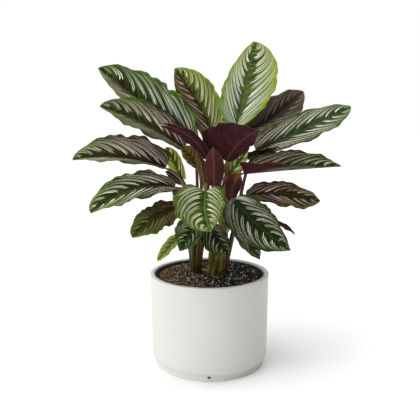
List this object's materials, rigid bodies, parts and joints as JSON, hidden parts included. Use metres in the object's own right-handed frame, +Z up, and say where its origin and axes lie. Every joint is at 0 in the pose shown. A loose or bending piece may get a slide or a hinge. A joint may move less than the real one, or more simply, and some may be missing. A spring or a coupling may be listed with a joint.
{
  "type": "potted calathea",
  "caption": "House plant with broad striped, wavy-edged leaves on slender stalks, rooted in a nursery pot of soil inside a plain round cachepot.",
  "frame": {"origin": "centre of the pot's flat underside", "axes": "+Z up along the pot's axis; -Y is the plant's front; +X to the right seen from the front"},
  "size_m": [0.4188, 0.3446, 0.5109],
  "materials": {
    "ceramic": "smooth satin white",
    "plastic": "matte dark grey moulded plastic",
    "soil": "rough, dark potting mix with pale grit",
    "stem": "smooth, olive to dark red-brown",
    "leaf": "satin, dark green with paired pale stripes above, purple below"
  },
  "bodies": {
    "root": {"cachepot": "ceramic", "nursery_pot": "plastic", "soil": "soil", "stems_left": "stem", "stems_right": "stem", "leaf_upper_left": "leaf", "leaf_left_high": "leaf", "leaf_left_mid": "leaf", "leaf_left_low": "leaf", "leaf_left_foot": "leaf", "leaf_left_small": "leaf", "leaf_front_left": "leaf", "leaf_front": "leaf", "leaf_front_right": "leaf", "leaf_right_low": "leaf", "leaf_right_behind": "leaf", "leaf_right_under": "leaf", "leaf_right_mid": "leaf", "leaf_right_high": "leaf", "leaf_upper_right": "leaf", "leaf_back_right": "leaf", "leaf_top": "leaf", "leaf_top_left": "leaf", "leaf_centre_right": "leaf", "leaf_centre_left": "leaf", "leaf_furled_left": "leaf", "leaf_furled_right": "leaf", "leaf_shaded_right": "leaf", "leaf_inner_right": "leaf", "leaf_inner_left": "leaf", "leaf_rear_left": "leaf", "leaf_rear_right": "leaf", "leaf_rear": "leaf", "leaf_rear_low_left": "leaf", "leaf_rear_low_right": "leaf", "leaf_inner_small": "leaf", "leaf_rolled_left": "leaf", "leaf_furled_low": "leaf"}
  },
  "joints": []
}
